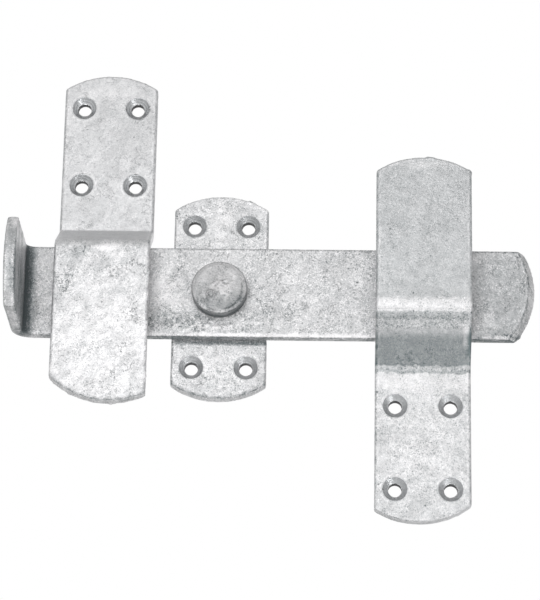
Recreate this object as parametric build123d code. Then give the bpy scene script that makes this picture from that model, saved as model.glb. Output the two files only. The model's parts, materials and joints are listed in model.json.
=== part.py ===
from build123d import *
from math import atan2, cos, radians, sin, sqrt, tan
import os

# Kickover latch for the foot of a stable door, in millimetres, as it is fitted.
# X runs to the right along the bar, Z is up, and the door's face is the plane Y = 0.
# Everything stands out of the door towards -Y. The origin is the pivot at the door's face.

# Rolled flat that all the straps are cut from, its long corners broken
stock_width = 50.0
stock_thickness = 6.0
broken_corner = 0.7

# Sheared ends: every strap ends in an arc of the same shear blade
end_radius = 43.0

# Countersunk screw holes
screw_hole_diameter = 7.0
countersink_diameter = 12.8
countersink_angle = 90.0

# Back plate, upright behind the pivot
back_plate_length = 114.0
back_plate_hole_columns = 28.5
back_plate_hole_rows = 79.5

# Pivot rivet: a broad flat head, a shank that the bar turns on, and a peened tenon
head_diameter = 29.2
head_thickness = 6.8
head_bevel_width = 2.4
head_bevel_height = 0.5
head_pip_diameter = 8.0
head_pip_top_diameter = 3.0
head_pip_height = 0.4
shank_diameter = 16.0
shank_running_gap = 0.08
tenon_diameter = 12.0
tenon_gap = 0.02
peen_diameter = 16.5
peen_depth = 2.2

# Latch bar: a long plain arm to the right and a kick lug bent forward at the left
bar_side_play = 0.4
plain_arm_reach = 165.5
plain_arm_shear_offset = 3.7
plain_arm_shear_slant = 3.8
lug_inner_reach = 101.8
lug_lean = 1.0
lug_tip_depth = 62.0
lug_end_radius = 38.0
lug_bend_radius = 5.0

# Keeps: cranked straps, a screw plate at one end and an open hook at the other.
# They are drilled to one jig, but bent and sheared by hand, so no two are quite alike.
hook_rise = 25.0
keep_hole_columns = 28.7
keep_hole_rows = 45.1
swing_clearance = 0.3

door_crank_run = 15.4
door_bend_radius = 1.0
door_seat_gap = 0.8
door_first_row_from_crank = 26.4
door_last_row_to_end = 19.2
door_hook_reach = 67.3
door_hook_shear_offset = 6.0

frame_crank_run = 23.5
frame_bend_radius = 5.0
frame_seat_gap = 0.3
frame_first_row_from_crank = 20.7
frame_last_row_to_end = 17.4
frame_plate_shear_offset = 2.0
frame_hook_reach = 70.2
bar_past_frame_keep = 34.0

# Worked out from the sizes above
half_width = stock_width / 2
bar_back = stock_thickness + bar_side_play
bar_front = bar_back + stock_thickness
head_seat = bar_front + bar_side_play
frame_keep_x = plain_arm_reach - bar_past_frame_keep - half_width
past_everything = 4 * end_radius

# The lug swings down past the corner of the door keep's hook, so the keep stands just inside
# the circle that the lug's inner face sweeps at the hook's depth.
lug_lean_at_hook = (hook_rise - bar_front) * tan(radians(lug_lean))
swept_radius = lug_inner_reach + lug_lean_at_hook - swing_clearance
corner_from_arc_centre = half_width + door_hook_shear_offset
corner_rise = end_radius - sqrt(end_radius**2 - corner_from_arc_centre**2)
hook_corner_depth = door_hook_reach - corner_rise
door_keep_x = half_width - sqrt(swept_radius**2 - hook_corner_depth**2)


def crank_start(crank_run, seat_gap):
    """Height at which the plate's outer face meets the crank's, with the bar seated under it.

    The crank's inner face stands off the bar's broken outer corner by the seat gap.
    """
    slope = atan2(hook_rise, crank_run)
    corner_cut_back = broken_corner * min(sin(slope), cos(slope))
    seat = half_width + (seat_gap - corner_cut_back) / sin(slope)
    level_thickness = stock_thickness / sin(slope)
    rise_to_corner = (bar_front - stock_thickness) / tan(slope)
    return seat + level_thickness + rise_to_corner


def sheared_outline(first_end, last_end, first_offset=0.0, last_offset=0.0, radius=end_radius):
    """Region between two arc shears at these heights, each arc moved sideways by its offset."""
    first_arc = Pos(first_offset, first_end - radius) * Circle(radius)
    last_arc = Pos(last_offset, last_end + radius) * Circle(radius)
    return make_hull([*first_arc.edges(), *last_arc.edges()])


def screw_hole():
    """Cutter for one hole, its countersink opening at local height zero and going down."""
    sink_depth = (countersink_diameter - screw_hole_diameter) / 2 / tan(radians(countersink_angle / 2))
    profile = Polyline(
        (0, 0),
        (countersink_diameter / 2, 0),
        (screw_hole_diameter / 2, -sink_depth),
        (screw_hole_diameter / 2, -2 * stock_thickness),
        (0, -2 * stock_thickness),
        close=True,
    )
    return revolve(Plane.XZ * make_face(profile), Axis.Z)


def screw_holes(column_spacing, row_spacing, middle):
    """Two columns and two rows of holes, countersunk in the plate's outer face."""
    outer_face = Plane.XZ.offset(stock_thickness)
    places = GridLocations(column_spacing, row_spacing, 2, 2)
    return [outer_face * Pos(0, middle) * place * screw_hole() for place in places]


def rolled_flat(section, width_direction):
    """Strap of full stock width with this edge-on section and the broken corners of the flat."""
    strap = extrude(section, stock_width / 2, both=True)
    side_faces = strap.faces().filter_by(width_direction)
    return chamfer(side_faces.edges(), broken_corner)


def back_plate():
    section = Plane.YZ * Pos(-stock_thickness / 2, 0) * Rectangle(stock_thickness, past_everything)
    strap = rolled_flat(section, Axis.X)
    half_length = back_plate_length / 2
    outline = Plane.XZ * sheared_outline(half_length, -half_length)
    plate = strap & extrude(outline, stock_thickness, both=True)
    plate -= screw_holes(back_plate_hole_columns, back_plate_hole_rows, 0)
    rivet_hole = Polyline(
        (0, stock_thickness),
        (peen_diameter / 2, stock_thickness),
        (peen_diameter / 2, 0),
        (tenon_diameter / 2, -peen_depth),
        (tenon_diameter / 2, -2 * stock_thickness),
        (0, -2 * stock_thickness),
        close=True,
    )
    return plate - revolve(make_face(rivet_hole), Axis.Y)


def pivot_rivet():
    """Turned about the pivot axis from the peened tenon at the door's face to the head's pip."""
    head_face = head_seat + head_thickness
    tenon_radius = tenon_diameter / 2 - tenon_gap
    shank_radius = shank_diameter / 2
    profile = Polyline(
        (0, 0),
        (peen_diameter / 2 - tenon_gap, 0),
        (tenon_radius, -peen_depth),
        (tenon_radius, -stock_thickness),
        (shank_radius, -stock_thickness),
        (shank_radius, -head_seat),
        (head_diameter / 2, -head_seat),
        (head_diameter / 2, head_bevel_height - head_face),
        (head_diameter / 2 - head_bevel_width, -head_face),
        (head_pip_diameter / 2, -head_face),
        (head_pip_top_diameter / 2, -head_face - head_pip_height),
        (0, -head_face - head_pip_height),
        close=True,
    )
    return revolve(make_face(profile), Axis.Y)


def latch_bar():
    """The arm lies flat against the door and its left end is bent forward as the kick lug.

    The shear broke through the plain end at a slant, so its front edge stops short of its back one.
    """
    bend_x = -lug_inner_reach - stock_thickness
    lean_shift = (2 * lug_tip_depth) * tan(radians(lug_lean))
    outer_line = FilletPolyline(
        (past_everything, -bar_back),
        (bend_x, -bar_back),
        (bend_x - lean_shift, -bar_back - 2 * lug_tip_depth),
        radius=lug_bend_radius + stock_thickness,
    )
    section = make_face(offset(outer_line, stock_thickness, side=Side.LEFT))
    strap = rolled_flat(section, Axis.Z)
    arm_end = sheared_outline(plain_arm_reach, -past_everything, -plain_arm_shear_offset)
    arm_outline = Plane.XZ.offset(bar_back) * Rot(0, 0, -90) * arm_end
    slant = (plain_arm_shear_slant, stock_thickness, 0)
    lug_end = sheared_outline(lug_tip_depth, -past_everything, radius=lug_end_radius)
    lug_outline = Plane.YZ * Rot(0, 0, 90) * lug_end
    bar = strap & extrude(arm_outline, past_everything, dir=slant, both=True)
    bar = bar & extrude(lug_outline, past_everything, both=True)
    turning_hole = Cylinder(shank_diameter / 2 + shank_running_gap, past_everything, rotation=(90, 0, 0))
    return bar - turning_hole


def keep(crank_run, bend_radius, seat_gap, first_row, last_row_to_end, plate_offset, hook_reach, hook_offset):
    """Cranked strap standing upright: its screw plate above and its hook opening downwards."""
    plate_foot = crank_start(crank_run, seat_gap)
    crank_foot = plate_foot - stock_thickness * tan(atan2(hook_rise, crank_run) / 2)
    back_line = FilletPolyline(
        (0, past_everything),
        (0, crank_foot),
        (-hook_rise, crank_foot - crank_run),
        (-hook_rise, -past_everything),
        radius=[bend_radius + stock_thickness, bend_radius],
    )
    section = Plane.YZ * make_face(offset(back_line, stock_thickness, side=Side.RIGHT))
    strap = rolled_flat(section, Axis.X)
    plate_end = plate_foot + first_row + keep_hole_rows + last_row_to_end
    outline = Plane.XZ * sheared_outline(plate_end, -hook_reach, plate_offset, hook_offset)
    shaped = strap & extrude(outline, past_everything, both=True)
    rows_middle = plate_foot + first_row + keep_hole_rows / 2
    return shaped - screw_holes(keep_hole_columns, keep_hole_rows, rows_middle)


def door_keep():
    """Screwed to the door above the bar, with its hook opening downwards."""
    strap = keep(
        crank_run=door_crank_run,
        bend_radius=door_bend_radius,
        seat_gap=door_seat_gap,
        first_row=door_first_row_from_crank,
        last_row_to_end=door_last_row_to_end,
        plate_offset=0.0,
        hook_reach=door_hook_reach,
        hook_offset=door_hook_shear_offset,
    )
    return Pos(door_keep_x, 0, 0) * strap


def frame_keep():
    """Screwed to the door frame below the bar, turned over so that its hook opens upwards."""
    strap = keep(
        crank_run=frame_crank_run,
        bend_radius=frame_bend_radius,
        seat_gap=frame_seat_gap,
        first_row=frame_first_row_from_crank,
        last_row_to_end=frame_last_row_to_end,
        plate_offset=frame_plate_shear_offset,
        hook_reach=frame_hook_reach,
        hook_offset=0.0,
    )
    return Pos(frame_keep_x, 0, 0) * Rot(0, 180, 0) * strap


nodes = {
    "back_plate": back_plate(),
    "pivot_rivet": pivot_rivet(),
    "latch_bar": latch_bar(),
    "door_keep": door_keep(),
    "frame_keep": frame_keep(),
}

os.makedirs("parts", exist_ok=True)
for name, solid in nodes.items():
    export_step(solid, f"parts/{name}.step")
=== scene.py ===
import itertools
import json
from math import cos, radians, sin
import bpy
import numpy as np
from mathutils import Matrix, Vector
from mathutils.bvhtree import BVHTree
from mathutils.kdtree import KDTree


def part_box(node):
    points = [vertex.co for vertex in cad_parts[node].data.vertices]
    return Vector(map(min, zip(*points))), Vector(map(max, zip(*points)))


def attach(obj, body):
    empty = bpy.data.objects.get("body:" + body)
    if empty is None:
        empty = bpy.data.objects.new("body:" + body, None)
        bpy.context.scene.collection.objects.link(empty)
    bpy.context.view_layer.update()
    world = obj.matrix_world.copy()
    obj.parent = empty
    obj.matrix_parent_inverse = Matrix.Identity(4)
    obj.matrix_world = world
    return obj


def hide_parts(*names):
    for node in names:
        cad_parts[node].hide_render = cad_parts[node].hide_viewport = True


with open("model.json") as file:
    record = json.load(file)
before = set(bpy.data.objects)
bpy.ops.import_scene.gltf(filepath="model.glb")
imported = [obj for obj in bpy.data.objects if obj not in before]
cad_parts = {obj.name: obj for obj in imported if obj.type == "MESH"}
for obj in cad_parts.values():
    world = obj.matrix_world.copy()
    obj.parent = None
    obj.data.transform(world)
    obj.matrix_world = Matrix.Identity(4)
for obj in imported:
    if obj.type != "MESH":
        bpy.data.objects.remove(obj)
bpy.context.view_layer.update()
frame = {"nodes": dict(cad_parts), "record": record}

# Back plate: a short upright of 50 by 6 mm rolled flat, sheared to an arc at both ends and drilled
# for four countersunk screws. Like every piece it was hot-dipped in zinc once it was cut, so a skin
# of zinc rounds its corners and lies on it in soft lumps.
mm = 0.001


def in_mm(box):
    """Lowest and highest corner of a node's box, in millimetres."""
    return [corner / mm for corner in box]


plate_low, plate_high = in_mm(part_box("back_plate"))
half_width = plate_high.x
stock_thickness = plate_high.y - plate_low.y
shear_radius = 43

screw_patterns = [mount for mount in frame["record"]["mounts"] if mount["kind"] == "bolt_pattern"]
bore_radius = screw_patterns[0]["dims"]["hole_r_mm"] * mm
countersink_radius = 6.4 * mm
rim_reach = 1 * mm
far_off = 20 * mm


def skin_of(piece):
    """Points of a piece, and the way that its skin faces at each of them."""
    mesh = piece.data
    points = np.empty(len(mesh.vertices) * 3)
    mesh.vertices.foreach_get("co", points)
    normals = np.empty(len(mesh.vertices) * 3)
    mesh.vertex_normals.foreach_get("vector", normals)
    return points.reshape(-1, 3), normals.reshape(-1, 3)


def set_points(piece, points):
    piece.data.vertices.foreach_set("co", points.ravel())
    piece.data.update()


def set_mask(piece, name, values):
    """Keeps one number for each point, for the material to read by this name."""
    masks = piece.data.attributes
    mask = masks.get(name) or masks.new(name, "FLOAT", "POINT")
    mask.data.foreach_set("value", np.asarray(values, dtype=np.float32))


def add_to_mask(piece, name, values):
    """Adds one number for each point to one of the piece's masks."""
    before = np.empty(len(values), dtype=np.float32)
    piece.data.attributes[name].data.foreach_get("value", before)
    set_mask(piece, name, before + values)


def eased(part):
    """Bends a straight rise from 0 to 1 into one that starts and ends level."""
    return part * part * (3 - 2 * part)


def fade(values, full, empty):
    """One where the value is at full or beyond it, zero at empty or beyond it, eased between."""
    return eased(np.clip((empty - values) / (empty - full), 0, 1))


lattice_cells = 64


def lumps(points, size, seed):
    """Smooth random heights from -1 to 1, in lumps of about this size."""
    lattice = np.random.default_rng(seed).uniform(-1, 1, (lattice_cells,) * 3)
    place = points / size
    corner = np.floor(place).astype(int)
    along = eased(place - corner)
    heights = np.zeros(len(points))
    for step in itertools.product((0, 1), repeat=3):
        share = np.prod(np.where(step, along, 1 - along), axis=1)
        heights += share * lattice[tuple(((corner + step) % lattice_cells).T)]
    return heights


sharp_corner = radians(28)
corner_step = 0.12 * mm
corner_reach = 1.2 * mm
corner_pull = 0.7
corner_rounds = 4
weld_decimals = 7


def corner_points(mesh):
    """Points strung along the sharp corners of a mesh, for finding how far off a corner is."""
    seams = {}
    for polygon in mesh.polygons:
        for key in polygon.edge_keys:
            ends = [tuple(np.round(mesh.vertices[i].co, weld_decimals)) for i in key]
            seams.setdefault(tuple(sorted(ends)), []).append(polygon.normal)
    strung = []
    for (start, end), normals in seams.items():
        if len(normals) == 2 and normals[0].angle(normals[1], 0) > sharp_corner:
            start, end = Vector(start), Vector(end)
            count = max(1, round((end - start).length / corner_step))
            strung += [start.lerp(end, (i + 0.5) / count) for i in range(count)]
    return strung


def nearest_corners(points, mesh):
    """The place on a sharp corner of the mesh that is nearest to each point, and how far it is."""
    strung = corner_points(mesh)
    corners = KDTree(len(strung))
    for i, place in enumerate(strung):
        corners.insert(place, i)
    corners.balance()
    found = [corners.find(point) for point in points]
    places = np.array([place for place, _, _ in found])
    distances = np.array([distance for _, _, distance in found])
    return places, distances


def hole_distances(points):
    """Distance of each point from the axis of the nearest screw hole."""
    nearest = np.full(len(points), far_off)
    for pattern in screw_patterns:
        middle = pattern["pos_m"]
        column_spacing = pattern["dims"]["spacing_x_mm"] * mm
        row_spacing = pattern["dims"]["spacing_y_mm"] * mm
        for column, row in itertools.product((-0.5, 0.5), repeat=2):
            across = points[:, 0] - middle[0] - column * column_spacing
            up = points[:, 2] - middle[2] - row * row_spacing
            nearest = np.minimum(nearest, np.hypot(across, up))
    return nearest


def even_copy(source, name, cell):
    """Copy of a node's mesh in even cells of this size."""
    piece = bpy.data.objects.new(name, source.copy())
    bpy.context.scene.collection.objects.link(piece)
    even = piece.modifiers.new("even", "REMESH")
    even.mode = "VOXEL"
    even.voxel_size = cell
    shown = piece.evaluated_get(bpy.context.evaluated_depsgraph_get())
    mesh = bpy.data.meshes.new_from_object(shown)
    piece.modifiers.clear()
    piece.data = mesh
    mesh.name = name
    mesh.shade_smooth()
    return piece


def drawn_round(points, mesh, pull):
    """Draws each point towards the middle of its neighbours, by its own share, a few times over."""
    pairs = np.empty(len(mesh.edges) * 2, dtype=np.int32)
    mesh.edges.foreach_get("vertices", pairs)
    first, second = pairs.reshape(-1, 2).T
    neighbours = np.bincount(pairs, minlength=len(points))
    for _ in range(corner_rounds):
        total = np.zeros_like(points)
        for axis, (here, there) in itertools.product(range(3), ((first, second), (second, first))):
            total[:, axis] += np.bincount(here, points[there, axis], minlength=len(points))
        points = points + pull[:, None] * (total / neighbours[:, None] - points)
    return points


def dipped_copy(name, cell):
    """Even mesh over the node's own surface, its corners drawn round by the zinc.

    The rims of the screw holes stay crisp. Each point keeps its distance to the nearest sharp
    corner and to the nearest hole's axis.
    """
    source = frame["nodes"][name].data
    surface = BVHTree.FromPolygons(
        [vertex.co for vertex in source.vertices], [polygon.vertices for polygon in source.polygons]
    )
    piece = even_copy(source, "dipped_" + name, cell)
    points, _ = skin_of(piece)
    points = np.array([surface.find_nearest(point)[0] for point in points])
    holes = hole_distances(points)
    in_hole = fade(holes, countersink_radius + 0.5 * cell, countersink_radius + cell)
    corners, distances = nearest_corners(points, source)
    on_rim = (in_hole > 0.5) & (distances < 0.6 * cell)
    points[on_rim] = corners[on_rim]
    pull = fade(distances, 0, corner_reach) * (1 - in_hole) * corner_pull
    set_points(piece, drawn_round(points, piece.data, pull))
    set_mask(piece, "corner_distance", np.minimum(distances, far_off))
    set_mask(piece, "hole_distance", holes)
    return piece


# Each layer of lumps in the skin has a size, a depth and a seed
soft_lumps = [(15 * mm, 0.05 * mm, 11), (3.2 * mm, 0.02 * mm, 12), (1.2 * mm, 0.02 * mm, 13)]


def sink_lumps(piece):
    """Presses soft lumps into the skin.

    They only ever sink, so the piece stays within its own outline and clear of the others.
    """
    points, normals = skin_of(piece)
    depth = sum(deepest * (1 + lumps(points, size, seed)) / 2 for size, deepest, seed in soft_lumps)
    depth *= 1 - fade(hole_distances(points), countersink_radius, countersink_radius + rim_reach)
    set_points(piece, points - normals * depth[:, None])


tooth_size = 2.6 * mm
tooth_height = 0.22 * mm


def ragged(piece, sheared, seed):
    """Breaks the edges of a sheared face into small teeth and hollows of zinc."""
    points, normals = skin_of(piece)
    coarse = lumps(points, tooth_size, seed)
    fine = lumps(points, tooth_size / 2, seed + 1)
    teeth = sheared * (0.6 * coarse + 0.4 * fine) * tooth_height
    set_points(piece, points + normals * teeth[:, None])


def in_front(normals):
    """One where the skin looks out or sideways, zero where it looks at the door."""
    return fade(normals[:, 1], 0.1, 0.5)


blot_edge_size = 4 * mm
fine_blot_edge_size = 1.5 * mm


def blot(piece, mask, middle, reach, strength, seed):
    """Adds a soft ragged blot to one of the front's masks, its middle and reach in millimetres."""
    points, normals = skin_of(piece)
    ragged_edge = 1 + 0.45 * lumps(points, blot_edge_size, seed)
    ragged_edge += 0.25 * lumps(points, fine_blot_edge_size, seed + 1)
    across = (points[:, 0] / mm - middle[0]) / reach[0]
    up = (points[:, 2] / mm - middle[1]) / reach[1]
    inside = fade(np.hypot(across, up) * ragged_edge, 0.3, 1.2)
    add_to_mask(piece, mask, strength * in_front(normals) * inside)


def hot_dipped(name, cell, body, material, blots, find_sheared=None):
    """One dipped piece, riding its body in place of the node, with its masks for the material."""
    piece = dipped_copy(name, cell)
    points, normals = skin_of(piece)
    sheared = find_sheared(points, normals) if find_sheared else np.zeros(len(points))
    set_mask(piece, "sheared", sheared)
    for mask in ("patches", "freckles", "calm"):
        set_mask(piece, mask, np.zeros(len(points)))
    for i, (mask, middle, reach, strength) in enumerate(blots):
        blot(piece, mask, middle, reach, strength, seed=10 * i + len(name))
    sink_lumps(piece)
    ragged(piece, sheared, seed=len(name))
    piece.data.materials.clear()
    piece.data.materials.append(material)
    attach(piece, body)
    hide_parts(name)
    return piece


break_size = 5 * mm


def swell(piece, start, end, radius, height, broken=0.0, seed=1, dull=0.6, shift=0.0):
    """Raises the skin along a line between two points, given in millimetres, or dents it.

    Broken is how much of the line is lost where the zinc drew back, from none to all, dull is how
    much painted shade darkens a dent for each millimetre of its depth, and shift moves the line
    across.
    """
    points, normals = skin_of(piece)
    start = (np.array(start) + (shift, 0, 0)) * mm
    along = (np.array(end) + (shift, 0, 0)) * mm - start
    part = np.clip((points - start) @ along / (along @ along), 0, 1)
    away = np.linalg.norm(points - start - part[:, None] * along, axis=1)
    rise = height * mm * np.exp(-((away / (radius * mm)) ** 2))
    rise *= 1 - broken * (1 + lumps(points, break_size, seed)) / 2
    set_points(piece, points + normals * rise[:, None])
    # Painted shade: a dent is darkened by its depth
    add_to_mask(piece, "patches", dull * np.minimum(rise, 0) / mm)


ring_steps = 8


def ring(piece, middle, ring_radius, turns, radius, height, broken, shift=0.0):
    """Raises or dents the skin along an arc seen from the front, between two turns in degrees."""
    turns = np.radians(np.linspace(*turns, ring_steps + 1))
    places = [Vector(middle) + ring_radius * Vector((cos(turn), 0, sin(turn))) for turn in turns]
    for seed, (start, end) in enumerate(itertools.pairwise(places)):
        swell(piece, start, end, radius, height, broken, seed, shift=shift)


def upright_ends(points, normals):
    """The arc-sheared ends of a strap that stands upright."""
    return fade(np.abs(normals[:, 2]), 0.8, 0.6) * fade(np.abs(normals[:, 1]), 0.3, 0.6)


def new_group(name, inputs, outputs):
    """Empty shader node group of plain numbers: inputs with their defaults, outputs by name."""
    group = bpy.data.node_groups.new(name, "ShaderNodeTree")
    for socket in outputs:
        group.interface.new_socket(socket, in_out="OUTPUT", socket_type="NodeSocketFloat")
    for socket, default in inputs.items():
        made = group.interface.new_socket(socket, in_out="INPUT", socket_type="NodeSocketFloat")
        made.default_value = default
    return group


class Wiring:
    """Short hand for adding nodes to a tree and joining their sockets."""

    def __init__(self, node_tree):
        self.node_tree = node_tree

    def put(self, value, socket):
        """Joins another node's output to the socket, or sets the socket to a plain value."""
        if isinstance(value, bpy.types.NodeSocket):
            self.node_tree.links.new(value, socket)
        else:
            socket.default_value = value

    def add(self, kind, sockets=None, **settings):
        """Adds a node with these settings, and fills its sockets."""
        node = self.node_tree.nodes.new(kind)
        for key, value in settings.items():
            setattr(node, key, value)
        for key, value in (sockets or {}).items():
            self.put(value, node.inputs[key])
        return node

    def maths(self, operation, *values):
        node = self.add("ShaderNodeMath", operation=operation)
        for value, socket in zip(values, node.inputs):
            self.put(value, socket)
        return node.outputs[0]

    def plus(self, first, second):
        return self.maths("ADD", first, second)

    def less(self, first, second):
        return self.maths("SUBTRACT", first, second)

    def times(self, first, second):
        return self.maths("MULTIPLY", first, second)

    def scaled(self, value, scale, added):
        """The value times a scale, with a second value added."""
        return self.maths("MULTIPLY_ADD", value, scale, added)

    def mixed(self, factor, first, second):
        """Colour that goes from the first to the second as the factor rises."""
        node = self.add("ShaderNodeMix", {0: factor, 6: first, 7: second}, data_type="RGBA")
        return node.outputs[2]

    def spread(self, value, low, high, to_low=0.0, to_high=1.0):
        """Carries the value smoothly from the first range to the second, held at its ends."""
        sockets = dict(enumerate((value, low, high, to_low, to_high)))
        return self.add("ShaderNodeMapRange", sockets, interpolation_type="SMOOTHSTEP").outputs[0]

    def place(self):
        return self.add("ShaderNodeTexCoord").outputs["Object"]

    def mask(self, name):
        """The number that the mesh keeps for each point under this name."""
        return self.add("ShaderNodeAttribute", attribute_name=name).outputs["Fac"]

    def noise(self, place, seed, size, detail, roughness, distortion=0.0):
        """Soft noise from 0 to 1 whose lumps have this size."""
        sockets = {
            "Vector": place, "W": seed, "Scale": 1 / size, "Detail": detail,
            "Roughness": roughness, "Distortion": distortion,
        }
        return self.add("ShaderNodeTexNoise", sockets, noise_dimensions="4D").outputs["Fac"]


# Frozen zinc: broad clouds, crisp-edged islands that froze at their own time, a faint mottle, and a
# sandy grain that comes and goes, with bright flecks, dark specks where the skin is thin, clumps of
# both where the steel was rough, short wrinkles, slanting runs, and here and there a pit from ash
cloud_size = 22 * mm
sandy_stretch_size = 8 * mm
island_size = 4.5 * mm
clump_size = 1.9 * mm
grain_size = 1.3 * mm
grit_size = 0.55 * mm
run_size = 1.6 * mm
run_slant = radians(28)
run_length = 2.2
fold_size = 7 * mm
fold_half_width = 0.012
folded_stretch_size = 9 * mm
folded_stretch_seed = 9.0
pit_spacing = 6 * mm
even_tone = 0.56

zinc_skin = new_group(
    "zinc skin",
    {
        "Seed": 0.0, "Clouds": 0.05, "Islands": 0.04, "Mottle": 0.04, "Grain": 0.2, "Specks": 0.3,
        "Flecks": 0.2, "Wrinkles": 0.2, "Runs": 0.03, "Pits": 0.6,
    },
    ("Tone", "Thin", "Height"),
)
tree = Wiring(zinc_skin)
given = tree.add("NodeGroupInput").outputs
results = tree.add("NodeGroupOutput").inputs
seed = given["Seed"]
place = tree.place()
patches = tree.mask("patches")
freckles = tree.mask("freckles")
calm = tree.mask("calm")
slanting = {"Vector": place, "Rotation": (0, run_slant, 0), "Scale": (1, 1, run_length)}
along_runs = tree.add("ShaderNodeMapping", slanting, vector_type="TEXTURE").outputs["Vector"]

clouds = tree.noise(place, seed, cloud_size, 3.0, 0.6)
islands = tree.spread(tree.noise(along_runs, seed, island_size, 4.0, 0.62, 0.9), 0.47, 0.56)
mottle = tree.noise(place, seed, island_size, 2.0, 0.6)
clumps = tree.noise(place, seed, clump_size, 4.0, 0.75, 0.3)
grain = tree.noise(place, seed, grain_size, 3.0, 0.8)
grit = tree.noise(place, seed, grit_size, 1.0, 0.6)
runs = tree.noise(along_runs, seed, run_size, 2.0, 0.6)
sandy_stretches = tree.noise(place, seed, sandy_stretch_size, 2.0, 0.5)
sandiness = tree.spread(sandy_stretches, 0.38, 0.62, 0.55, 1.45)
thin = tree.spread(tree.plus(clouds, mottle), 1.06, 0.86)
sandy = tree.scaled(grit, 1.2, tree.times(grain, 0.8))

gathered = tree.times(tree.spread(thin, 0.0, 1.0, 0.4, 1.0), given["Specks"])
gathered = tree.scaled(freckles, 0.5, gathered)
specks = tree.times(tree.spread(sandy, 0.90, 0.76), gathered)
dark_clumps = tree.times(tree.spread(clumps, 0.49, 0.44), freckles)
specks = tree.scaled(dark_clumps, 0.4, specks)
flecks = tree.times(tree.spread(sandy, 1.10, 1.26), given["Flecks"])
bright_clumps = tree.times(tree.spread(clumps, 0.53, 0.58), freckles)
flecks = tree.scaled(bright_clumps, 0.3, flecks)

fold = tree.noise(place, seed, fold_size, 3.0, 0.7)
from_fold = tree.maths("ABSOLUTE", tree.less(fold, 0.5))
folded_stretches = tree.noise(place, folded_stretch_seed, folded_stretch_size, 1.0, 0.5)
folded_stretches = tree.spread(folded_stretches, 0.5, 0.62)
folds = tree.times(tree.spread(from_fold, fold_half_width, 0.0), folded_stretches)
wrinkles = tree.times(folds, given["Wrinkles"])

cells = tree.add("ShaderNodeTexVoronoi", {"Scale": 1 / pit_spacing, "Vector": place}).outputs
chosen = tree.add("ShaderNodeSeparateColor", {"Color": cells["Color"]}).outputs[0]
pit = tree.times(tree.spread(cells["Distance"], 0.10, 0.04), tree.spread(chosen, 0.78, 0.80))
pits = tree.times(pit, given["Pits"])

tone = tree.times(tree.scaled(sandy, 2.0, -2.0), sandiness)
tone = tree.times(tone, given["Grain"])
for layer, share in ((clouds, "Clouds"), (islands, "Islands"), (mottle, "Mottle"), (runs, "Runs")):
    swing = tree.scaled(layer, 2.0, -1.0)
    tone = tree.scaled(swing, given[share], tone)
lost = tree.plus(tree.plus(specks, wrinkles), pits)
tone = tree.plus(tone, tree.less(flecks, lost))
tone = tree.times(tone, tree.less(1.0, calm))
tree.put(tree.plus(tree.plus(tone, even_tone), patches), results["Tone"])
tree.put(thin, results["Thin"])

height = tree.scaled(grain, 0.5, tree.times(grit, 0.35))
height = tree.scaled(mottle, 0.5, height)
height = tree.scaled(clumps, freckles, height)
height = tree.scaled(runs, given["Runs"], height)
height = tree.less(height, tree.plus(wrinkles, pits))
tree.put(tree.times(height, tree.scaled(calm, -0.7, 1.0)), results["Height"])

# Corners: the zinc runs thin and dull right on a corner and lies a little thick beside it
wander_size = 3 * mm
zinc_corners = new_group("zinc corners", {"Seed": 0.0}, ("Bare", "Bead"))
tree = Wiring(zinc_corners)
given = tree.add("NodeGroupInput").outputs
results = tree.add("NodeGroupOutput").inputs
distance = tree.mask("corner_distance")
wander = tree.noise(tree.place(), given["Seed"], wander_size, 2.0, 0.6)
bare = tree.times(tree.spread(distance, 0.7 * mm, 0.1 * mm), tree.spread(wander, 0.4, 0.6))
tree.put(bare, results["Bare"])
beside = tree.times(
    tree.spread(distance, 0.5 * mm, 1.1 * mm), tree.spread(distance, 2.2 * mm, 1.2 * mm)
)
tree.put(tree.times(beside, tree.spread(wander, 0.45, 0.6)), results["Bead"])

# Screw holes: rings left by the countersink under thin zinc, a bead round the bore, a dark line
# just inside the rim, and a bore painted nearly black as painted shade, rough and dull
turned_ring_size = 0.45 * mm
blotch_size = 1.5 * mm
dark_line_inset = 0.3 * mm
turned_holes = new_group("turned holes", {"Seed": 0.0}, ("Inside", "Bore", "Tone"))
tree = Wiring(turned_holes)
given = tree.add("NodeGroupInput").outputs
results = tree.add("NodeGroupOutput").inputs
distance = tree.mask("hole_distance")
from_bore = tree.less(distance, bore_radius)
from_rim = tree.less(distance, countersink_radius)
ring_place = tree.add("ShaderNodeCombineXYZ", {"X": distance}).outputs["Vector"]
rings = tree.noise(ring_place, given["Seed"], turned_ring_size, 1.0, 0.5)
blotches = tree.noise(tree.place(), given["Seed"], blotch_size, 2.0, 0.7)
bead = tree.times(
    tree.spread(from_bore, 0.05 * mm, 0.2 * mm), tree.spread(from_bore, 0.75 * mm, 0.45 * mm)
)
from_line = tree.maths("ABSOLUTE", tree.plus(from_rim, dark_line_inset))
tone = tree.scaled(rings, 2.0, tree.scaled(blotches, 0.9, -0.95))
tone = tree.scaled(tree.spread(from_line, 0.3 * mm, 0.1 * mm), -0.35, tone)
tree.put(tree.scaled(bead, 0.5, tone), results["Tone"])
tree.put(tree.spread(from_rim, 0.1 * mm, -0.15 * mm), results["Inside"])
tree.put(tree.spread(from_bore, 0.22 * mm, 0.08 * mm), results["Bore"])

turned_dark = (0.3, 0.31, 0.32, 1)
turned_pale = (0.66, 0.67, 0.68, 1)
turned_roughness = 0.24
turned_metallic = 0.55
# The bore's near-black colour is painted shade, standing in for the hole's wall in shadow
bore_shade = (0.07, 0.07, 0.075, 1)
bore_roughness = 0.6
bore_metallic = 0.1
grain_height = 0.8 * mm


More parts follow.
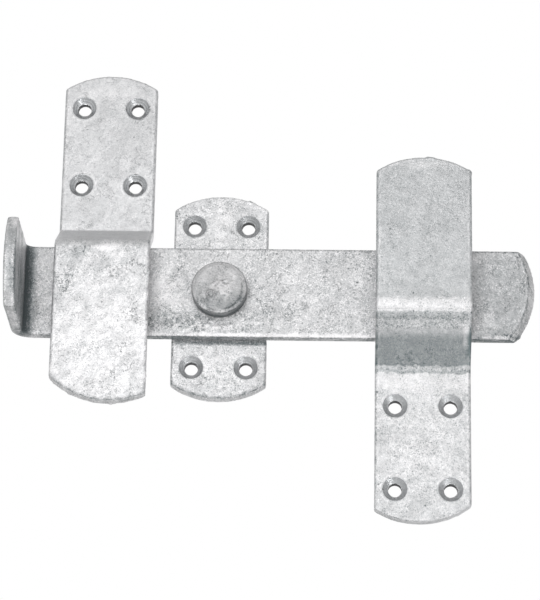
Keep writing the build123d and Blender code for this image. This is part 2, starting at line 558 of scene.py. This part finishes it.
def zinc(name, seed, shade, skin, roughness, metallic, relief, warmth=1.0):
    """Hot-dip zinc of one piece: its seed, how pale it came out, and its own skin values."""
    dark = (0.125 * shade * warmth, 0.15 * shade, 0.157 * shade, 1)
    pale = (0.975 * shade, 0.965 * shade, 0.975 * shade, 1)
    material = bpy.data.materials.new(name)
    material.use_nodes = True
    tree = Wiring(material.node_tree)
    shader = material.node_tree.nodes["Principled BSDF"].inputs
    skin = tree.add("ShaderNodeGroup", {"Seed": seed, **skin}, node_tree=zinc_skin).outputs
    corners = tree.add("ShaderNodeGroup", {"Seed": seed}, node_tree=zinc_corners).outputs
    holes = tree.add("ShaderNodeGroup", {"Seed": seed}, node_tree=turned_holes).outputs

    tone = tree.scaled(corners["Bead"], 0.2, skin["Tone"])
    tone = tree.scaled(corners["Bare"], -0.3, tone)
    tone = tree.scaled(tree.mask("sheared"), 0.03, tone)
    coated = tree.mixed(tree.scaled(tone, 0.81, 0.19), dark, pale)
    turned = tree.mixed(holes["Tone"], turned_dark, turned_pale)
    turned = tree.mixed(holes["Bore"], turned, bore_shade)
    tree.put(tree.mixed(holes["Inside"], coated, turned), shader["Base Color"])

    matt = tree.spread(skin["Thin"], 0.0, 1.0, roughness, roughness + 0.06)
    polish = tree.spread(holes["Bore"], 0.0, 1.0, turned_roughness, bore_roughness)
    tree.put(tree.spread(holes["Inside"], 0.0, 1.0, matt, polish), shader["Roughness"])
    dull = tree.spread(skin["Thin"], 0.0, 1.0, metallic, metallic * 0.85)
    bright = tree.spread(holes["Bore"], 0.0, 1.0, turned_metallic, bore_metallic)
    tree.put(tree.spread(holes["Inside"], 0.0, 1.0, dull, bright), shader["Metallic"])
    relief_sockets = {"Strength": relief, "Distance": grain_height, "Height": skin["Height"]}
    bump = tree.add("ShaderNodeBump", relief_sockets)
    tree.put(bump.outputs["Normal"], shader["Normal"])
    return material


plate_cell = 0.5 * mm
plate_skin = {"Islands": 0.06, "Grain": 0.42, "Specks": 0.3, "Flecks": 0.3, "Wrinkles": 0.3}
plate_zinc = zinc(
    "plate_zinc", seed=1.0, shade=1.05, skin=plate_skin, roughness=0.42, metallic=0.38, relief=0.7
)

# Each blot has a mask, its middle and its reach across and up, and its strength. Patches are paler
# or darker, freckles are rough with specks and flecks, and calm zinc froze even.
plate_blots = [
    ("patches", (-1, 51), (3, 7), 0.22),
    ("patches", (3.5, 43), (4, 5), 0.26),
    ("patches", (-1, 35), (3, 8), 0.22),
    ("patches", (-9, 40), (3, 8), -0.1),
    ("freckles", (-19.8, 47), (5, 8), 0.4),
    ("freckles", (19.3, 35.2), (5, 6), 0.3),
    ("patches", (14, 44), (9, 9), -0.12),
    ("patches", (0, -40), (16, 12), 0.1),
    ("freckles", (2, -45), (20, 10), 0.6),
    # Painted shadow: a dark line on the plate just under the bar's lower edge
    ("patches", (0, -26), (40, 1.8), -0.6),
]
back_plate = hot_dipped(
    "back_plate", plate_cell, "ironwork", plate_zinc, plate_blots, upright_ends
)

# A burr on the top end, and the slanting edge that the shear left along the front of the lower one
swell(back_plate, (14.5, -5, 54.2), (17, -4.5, 53), radius=0.9, height=0.9)
before_face = 0.3
sheared_edge = (0, plate_low.y - before_face, plate_low.z + shear_radius)
ring(back_plate, sheared_edge, shear_radius, (-126, -54), radius=1.3, height=-0.9, broken=0.3)

# Pivot rivet: a forged rivet with a broad flat head. Its shank passes through the bar and is peened
# over in a countersink behind the back plate, so the bar turns on it and it stays still.
rivet_cell = 0.36 * mm
rivet_low, _ = in_mm(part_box("pivot_rivet"))
pip_height = 0.4
pip_top = rivet_low.y
head_face = pip_top + pip_height
rivet_skin = {"Islands": 0.05, "Grain": 0.44, "Specks": 0.25, "Flecks": 0.05, "Wrinkles": 0.3}
rivet_zinc = zinc(
    "rivet_zinc", seed=2.0, shade=0.66, skin=rivet_skin, roughness=0.40, metallic=0.42, relief=0.6
)
rivet_blots = [
    ("patches", (1.8, 0.8), (6, 5), 0.65),
    ("freckles", (1.5, 0.5), (7, 6), 1.0),
    ("patches", (-4.4, -4.0), (2.2, 2.2), -0.05),
    # Painted light and shade: the head paler at its top and darker over its lower half
    ("patches", (0, 8), (17, 9), 0.12),
    ("patches", (4, -9), (16, 6), -0.33),
    ("patches", (-9, -4), (5, 9), -0.1),
]
rivet = hot_dipped("pivot_rivet", rivet_cell, "ironwork", rivet_zinc, rivet_blots)

# Painted shade on the head's side, darkest close to the bar; the side is also even
points, normals = skin_of(rivet)
across, out, up = points.T / mm
on_side = fade(np.abs(normals[:, 1]), 0.3, 0.6) * fade(np.hypot(across, up), 14, 13)
add_to_mask(rivet, "patches", -on_side * (0.2 + 0.7 * fade(out, -13, -19)))
add_to_mask(rivet, "calm", 0.6 * on_side)

# Marks on the head: a nick in the rim, a small ring, a groove inside the rim and a rough middle
swell(rivet, (-4.2, pip_top, -12.8), (-3.8, pip_top, -13.0), radius=1.6, height=-0.9)
small_ring = (-4.4, head_face, -4.0)
ring(rivet, small_ring, 2.0, (0, 360), radius=0.45, height=0.6, broken=0.3)
ring(rivet, (0, head_face, 0), 12.3, (-75, 10), radius=0.45, height=-0.45, broken=0.1)
scatter = np.random.default_rng(61)
for seed, height in enumerate([0.5, -0.35] * 7):
    place = Vector((scatter.uniform(-2.5, 5.5), head_face, scatter.uniform(-4.5, 4)))
    along = Vector((scatter.uniform(-2.5, 2.5), 0, scatter.uniform(-1.2, 1.2)))
    swell(rivet, place, place + along, radius=0.45, height=height, broken=0.5, seed=seed)

# Latch bar: one length of the same flat. Its right end is sheared to an arc, and its left end is
# bent forward into the lug that a foot kicks over. It turns on the rivet's shank.
bar_cell = 0.62 * mm
_, bar_high = in_mm(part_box("latch_bar"))
arm_front = bar_high.y - stock_thickness
arm_start = -85
arm_end = 120
broken_corner = 0.7
under_corner = broken_corner - half_width
lug_inner = -103
lug_hollow = (-100.8, -14)
bar_skin = {"Islands": 0.06, "Grain": 0.5, "Specks": 0.25, "Flecks": 0.4, "Wrinkles": 0.3}
bar_zinc = zinc(
    "bar_zinc", seed=3.0, shade=0.97, skin=bar_skin, roughness=0.42, metallic=0.38, relief=0.7
)
bar_blots = [
    ("patches", (-31, 3), (10, 11), 0.3),
    ("patches", (-12, 16), (10, 6), 0.1),
    ("patches", (70, 10), (11, 9), 0.12),
    ("patches", (-31, -15), (14, 6), -0.18),
    ("freckles", (-31, -15), (13, 7), 0.85),
    ("freckles", (-8, -19), (16, 5), 0.5),
    ("freckles", (-15, -16), (12, 7), 0.6),
    ("patches", (-18, -15), (10, 6), -0.14),
    ("freckles", (9, -20), (14, 4), 0.6),
    ("patches", (11, -21), (12, 3), -0.12),
    ("patches", (34, 8), (6, 3), 0.12),
    ("patches", (48, -3), (9, 3), 0.1),
    ("patches", (-2, -19.5), (13, 1.8), 0.2),
    ("patches", (-21, -8), (4, 10), 0.14),
    ("freckles", (24, -12), (20, 7), 0.65),
    ("patches", (22, 2.3), (1.2, 1.2), -0.4),
    # Painted highlight along the bar's lower rim
    ("patches", (45, -24.1), (110, 1.5), 0.6),
    # Painted shade: the plain end darker overall
    ("patches", (150, 0), (26, 40), -0.24),
    ("calm", (148, 0), (18, 40), 0.3),
    ("freckles", (150, -23), (12, 2.5), 0.9),
    ("patches", (156.5, -23.5), (3, 3), -0.4),
    # Painted shadow on the bar beside the frame keep's left edge
    ("patches", (79, 0), (4.5, 60), -0.12),
    ("patches", (164, 0), (3, 40), 0.2),
    # Painted shade at the lug and its bend
    ("patches", (-106, 0), (4.5, 60), -0.16),
    ("calm", (-106, 0), (4.5, 60), 0.3),
    ("patches", (141, -14), (4, 5), 0.15),
    ("patches", (143, 6), (3, 3), 0.15),
]


def bar_ends(points, normals):
    """The sheared plain end, whose face looks right, and the lug's tip, which looks forward."""
    across, out, _ = points.T / mm
    plain = fade(normals[:, 0], 0.7, 0.4) * fade(across, arm_end, arm_end - 10)
    on_lug = fade(np.abs(normals[:, 0]), 0.3, 0.7) * fade(out, -45, -43)
    return plain + on_lug * fade(np.abs(normals[:, 2]), 0.7, 0.9)


bar = hot_dipped("latch_bar", bar_cell, "bar", bar_zinc, bar_blots, bar_ends)

# Painted shade darkens the hollow of the bend, all along the underside, and the lug's inner face,
# less towards that face's top; the bend is also even, and the inner face has faint upright streaks
points, normals = skin_of(bar)
across, out, up = points.T / mm
in_bend = fade(np.hypot(across - lug_hollow[0], out - lug_hollow[1]), 1.5, 6.5)
underneath = fade(-normals[:, 2], 0.9, 0.6) * fade(across, arm_start, arm_start - 10)
inside_lug = fade(normals[:, 0], 0.9, 0.6) * fade(across, arm_start - 10, arm_start - 5)
lug_top = fade(up, 22, -8)
lug_tip = fade(out, -60, -57)
add_to_mask(bar, "patches", -0.7 * in_bend - 0.75 * underneath - 0.04 * lug_tip)
add_to_mask(bar, "patches", inside_lug * (0.28 * lug_top - 0.36))
add_to_mask(bar, "calm", 0.5 * in_bend)
lug_face = fade(np.abs(across - lug_inner), 2, 4) * fade(out, -20, -16)
upright_streaks = lumps(points * (1, 1, 0.3), 4 * mm, 8)
add_to_mask(bar, "patches", 0.4 * lug_face * upright_streaks)

# A burr and a torn hollow at the plain end's lower corner, the hollow darkened with painted shade
swell(bar, (154.5, -10, -25), (157.5, -8.5, -22.5), radius=1.7, height=1.9)
swell(bar, (153, arm_front, -23.2), (155, -11.5, -22.8), radius=0.9, height=-0.9, dull=0.9)

# The shear broke through the front along this line, and its groove is darkened with painted shade
break_line = [(158, 24), (162, 14), (163, 2), (159, -21)]
for seed, ((x, z), (next_x, next_z)) in enumerate(itertools.pairwise(break_line)):
    start = (x, arm_front, z)
    end = (next_x, arm_front, next_z)
    swell(bar, start, end, radius=0.8, height=-0.6, broken=0.6, seed=seed, dull=2.6)

# A worn ring round the rivet's head, and beads of zinc that gathered along the lower corner
ring(bar, (0, arm_front, 0), 19.5, (-150, -35), radius=1.0, height=0.15, broken=0.5)
for seed, left, right in ((31, -35, 79), (32, 134, 157)):
    start = (left, arm_front + 0.2, under_corner)
    end = (right, arm_front + 0.2, under_corner)
    swell(bar, start, end, radius=0.9, height=0.35, broken=0.8, seed=seed)

# Door keep: a strap of the same flat, cranked forward over the bar and screwed to the door above
# it, with its hook opening downwards. It keeps the shut bar from being pulled off the door, and the
# raised arm comes to rest against its edge.
keep_cell = 0.52 * mm
door_low, door_high = in_mm(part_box("door_keep"))
door_keep_middle = (door_low.x + door_high.x) / 2
keep_front = door_low.y
door_keep_skin = {
    "Islands": 0.08, "Grain": 0.36, "Specks": 0.25, "Flecks": 0.1, "Wrinkles": 0.5, "Runs": 0.08,
}
door_keep_zinc = zinc(
    "door_keep_zinc", seed=4.0, shade=1.0, skin=door_keep_skin,
    roughness=0.42, metallic=0.38, relief=0.5,
)


def beside(middle, blots):
    """Shifts blots that are placed from the middle of a strap."""
    return [(mask, (middle + x, z), reach, strength) for mask, (x, z), reach, strength in blots]


def band(piece, mask, low, high, strength, soft_low=1.0, soft_high=1.0):
    """Adds an even band across the front to one of the masks, its heights in millimetres.

    It fades out over soft_low below it and soft_high above it, also in millimetres.
    """
    points, normals = skin_of(piece)
    wandering = points[:, 2] / mm + 0.7 * lumps(points, 2 * mm, 19)
    inside = fade(wandering, low, low - soft_low) * fade(wandering, high, high + soft_high)
    add_to_mask(piece, mask, strength * inside * in_front(normals))


door_keep_blots = [
    ("patches", (-2, 117), (18, 4), 0.14),
    # Painted highlight along the lower edge of the bend above the hook
    ("patches", (3, 17.5), (11, 2.2), 0.4),
    ("patches", (-13, 14.5), (7, 4), -0.2),
    ("patches", (10, 13.4), (6, 4), 0.1),
    ("freckles", (-18, -2), (7, 9), 0.7),
    ("freckles", (9, 1), (6, 6), 0.6),
    ("freckles", (-5, -40), (9, 7), 0.5),
    ("freckles", (6, -62), (12, 4), 0.5),
    # Painted light: the hook paler over most of its face
    ("patches", (0, -34), (36, 42), 0.18),
    ("patches", (-7, -20), (4, 8), -0.12),
    ("patches", (9, -6), (5, 4), -0.12),
    ("patches", (6, -38), (3, 9), -0.12),
    ("patches", (-12, -43), (6, 4), -0.1),
    ("patches", (14, -28), (4, 9), 0.1),
    ("patches", (0, 8), (22, 5), -0.08),
]
door_keep = hot_dipped(
    "door_keep", keep_cell, "ironwork", door_keep_zinc,
    beside(door_keep_middle, door_keep_blots), upright_ends,
)

# The crank and the screw plate froze evener than the hook
band(door_keep, "calm", 24, 34, 0.65, soft_low=2, soft_high=4)
band(door_keep, "calm", 36, 140, 0.42, soft_low=4)

# A drip of zinc under the hook, and fine teeth up its right edge
swell(door_keep, (-2, -28, -67.5), (0, -29, -67.6), radius=1.3, height=1.2, shift=door_keep_middle)
scatter = np.random.default_rng(73)
for seed in range(18):
    place = Vector((half_width, keep_front + 0.4, scatter.uniform(-60, 14)))
    tooth = Vector((0, 0.6, scatter.uniform(0.4, 2.5)))
    swell(
        door_keep, place, place + tooth,
        radius=0.8, height=0.5, broken=0.6, seed=seed, shift=door_keep_middle,
    )

# The slanting edge that the shear left along the front of the hook's end, with its burrs and dents
hook_end_shift = 6
hook_end = Vector((hook_end_shift, keep_front - before_face, door_low.z + shear_radius))
ring(
    door_keep, hook_end, shear_radius, (-136, -64),
    radius=1.3, height=-0.8, broken=0.3, shift=door_keep_middle,
)
for seed, height in enumerate([0.7, -0.5] * 9):
    turn = scatter.uniform(-0.75, 0.42)
    place = Vector((
        hook_end.x + shear_radius * sin(turn),
        scatter.uniform(-30.6, -26.5),
        hook_end.z - shear_radius * cos(turn),
    ))
    along = Vector((scatter.uniform(0.5, 2.5), 0.3, 0))
    swell(
        door_keep, place, place + along,
        radius=0.9, height=height, broken=0.5, seed=seed, shift=door_keep_middle,
    )

# Frame keep: the same strap turned over, screwed to the door frame below the bar, with its hook
# opening upwards. The bar's plain end drops into it and holds the door shut.
frame_low, frame_high = in_mm(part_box("frame_keep"))
frame_keep_middle = (frame_low.x + frame_high.x) / 2
frame_keep_skin = {
    "Islands": 0.04, "Grain": 0.34, "Specks": 0.25, "Flecks": 0.15, "Wrinkles": 0.2, "Runs": 0.06,
}
frame_keep_zinc = zinc(
    "frame_keep_zinc", seed=5.0, shade=0.99, skin=frame_keep_skin,
    roughness=0.42, metallic=0.38, relief=0.6, warmth=0.92,
)
frame_keep_blots = [
    # Painted highlight and painted shade: a pale streak along the ridge down the crank's right
    # side, and a dark one beside it
    ("patches", (21.5, -24), (1.6, 7), 0.35),
    ("patches", (24, -27), (1.6, 7), -0.4),
    # Painted highlight inside the hook's top end
    ("patches", (0, 66), (24, 2.5), 0.15),
    ("freckles", (0, -21), (45, 5), 0.5),
    ("freckles", (-8, -35), (8, 3), 0.6),
    ("freckles", (0, -39), (45, 2.5), 0.4),
    # Painted sheen: the screw plate paler in its middle
    ("patches", (0, -80), (30, 40), 0.16),
    ("freckles", (0, -80), (30, 40), 0.35),
]
frame_keep = hot_dipped(
    "frame_keep", keep_cell, "ironwork", frame_keep_zinc,
    beside(frame_keep_middle, frame_keep_blots), upright_ends,
)

# Painted shade: the hook is a little dark, and even; painted highlight: the bend below it is paler,
# over a painted dark line where its sheen ends
band(frame_keep, "patches", -7, 80, -0.15, soft_low=3, soft_high=3)
band(frame_keep, "calm", -7, 80, 0.3, soft_low=3, soft_high=3)
band(frame_keep, "patches", -15.3, -12.5, 0.26, soft_low=0.8, soft_high=5)
band(frame_keep, "patches", -18.9, -17.0, -0.25, soft_low=1.4, soft_high=1.8)

# Painted shade on the crank, darkest towards its foot; the crank is also even
crank_foot = -37.2
band(frame_keep, "patches", crank_foot, -18.7, -0.08)
band(frame_keep, "patches", crank_foot, -27.5, -0.42, soft_low=1.2, soft_high=5)
band(frame_keep, "calm", crank_foot, -23.8, 0.5, soft_low=1.2, soft_high=1.2)

# Painted shade: two thin dark lines along the lower bend; painted sheen: the screw plate paler just
# below them
band(frame_keep, "patches", -39.6, -37.6, -0.12, soft_low=0.6, soft_high=0.6)
band(frame_keep, "patches", -41.3, -40.1, -0.3, soft_low=0.4, soft_high=0.4)
band(frame_keep, "patches", -48, -42.5, 0.2, soft_low=6, soft_high=1.5)

# Each line has its two ends, how wide and how high it is, how broken, and a seed: a ridge down the
# crank's right side, a line along each bend, and burrs on the hook's end and its right corner
frame_keep_lines = [
    ((21, -29, -15), (22, -13, -35), 1.6, 0.5, 0.5, 51),
    ((-24, -30, -15.3), (24, -30, -15), 0.5, -0.25, 0.6, 53),
    ((-24, -9, -38), (24, -9, -38), 1.0, 0.2, 0.6, 52),
    ((2, -30, 70), (5, -30, 69.5), 1.0, 0.6, 0.0, 1),
    ((24, -30, 63), (24.5, -29, 62), 0.9, 0.5, 0.0, 1),
]
for start, end, radius, height, broken, seed in frame_keep_lines:
    swell(frame_keep, start, end, radius, height, broken, seed, shift=frame_keep_middle)

# Floor, light and camera: a pale floor well below the ironwork, soft lamps in front and below, a
# faint one behind, and a clear white surround. The camera looks up a little, nearly square on.
floor_height = -0.8
floor_half = 1.6
floor_glow = 0.82
floor_corners = [(-1, -1), (1, -1), (1, 1), (-1, 1)]
floor_mesh = bpy.data.meshes.new("floor")
floor_mesh.from_pydata(
    [(x * floor_half, y * floor_half, floor_height) for x, y in floor_corners], [], [(0, 1, 2, 3)]
)
floor = bpy.data.objects.new("floor", floor_mesh)
bpy.context.scene.collection.objects.link(floor)


def seen_or_reflected(tree):
    """One for a ray from the camera, or one seen in or through a surface, and zero for others."""
    ray = tree.add("ShaderNodeLightPath").outputs
    seen = tree.maths("MAXIMUM", ray["Is Camera Ray"], ray["Is Glossy Ray"])
    return tree.maths("MAXIMUM", seen, ray["Is Transmission Ray"])


floor_paint = bpy.data.materials.new("floor_paint")
floor_paint.use_nodes = True
tree = Wiring(floor_paint.node_tree)
shader = floor_paint.node_tree.nodes["Principled BSDF"].inputs
shader["Base Color"].default_value = (0.85, 0.85, 0.85, 1)
shader["Roughness"].default_value = 0.8
shader["Emission Color"].default_value = (1, 1, 1, 1)
tree.put(tree.times(seen_or_reflected(tree), floor_glow), shader["Emission Strength"])
floor_mesh.materials.append(floor_paint)

lit_middle = Vector((0, 0, -0.02))


def softbox(name, place, size, power):
    """Square lamp that faces the middle of the latch."""
    lamp = bpy.data.lights.new(name, "AREA")
    lamp.size = size
    lamp.energy = power
    holder = bpy.data.objects.new(name, lamp)
    holder.location = place
    holder.rotation_euler = (lit_middle - Vector(place)).to_track_quat("-Z", "Y").to_euler()
    bpy.context.scene.collection.objects.link(holder)


softbox("high_lamp", (-0.10, -1.0, 0.15), size=0.6, power=3.0)
softbox("low_lamp", (-0.25, -1.0, -0.28), size=0.5, power=2.0)
softbox("under_lamp", (0.6, -0.35, -0.73), size=0.26, power=2.0)
softbox("back_lamp", (0.0, 1.0, 0.3), size=0.6, power=1.2)

ambient = 0.15
white = 1.0
world = bpy.data.worlds.new("white surround")
bpy.context.scene.world = world
world.use_nodes = True
tree = Wiring(world.node_tree)
backdrop = world.node_tree.nodes["Background"].inputs
backdrop["Color"].default_value = (1, 1, 1, 1)
tree.put(tree.spread(seen_or_reflected(tree), 0.0, 1.0, ambient, white), backdrop["Strength"])

camera_azimuth = radians(1.25)
camera_elevation = radians(-21.14)
camera_roll = radians(1.05)
camera_distance = 1.6
camera_aim = Vector((26.18 * mm, 0, 0.63 * mm))
sensor_width = 36
lens_length = 182
camera_data = bpy.data.cameras.new("camera")
camera_data.sensor_width = sensor_width
camera_data.lens = lens_length
camera = bpy.data.objects.new("camera", camera_data)
bpy.context.scene.collection.objects.link(camera)
turn = Matrix.Rotation(camera_azimuth, 4, "Z")
turn = turn @ Matrix.Rotation(radians(90) - camera_elevation, 4, "X")
turn = turn @ Matrix.Rotation(camera_roll, 4, "Z")
stand_off = Matrix.Translation((0, 0, camera_distance))
camera.matrix_world = Matrix.Translation(camera_aim) @ turn @ stand_off
bpy.context.scene.camera = camera
bpy.context.scene.view_settings.view_transform = "Standard"
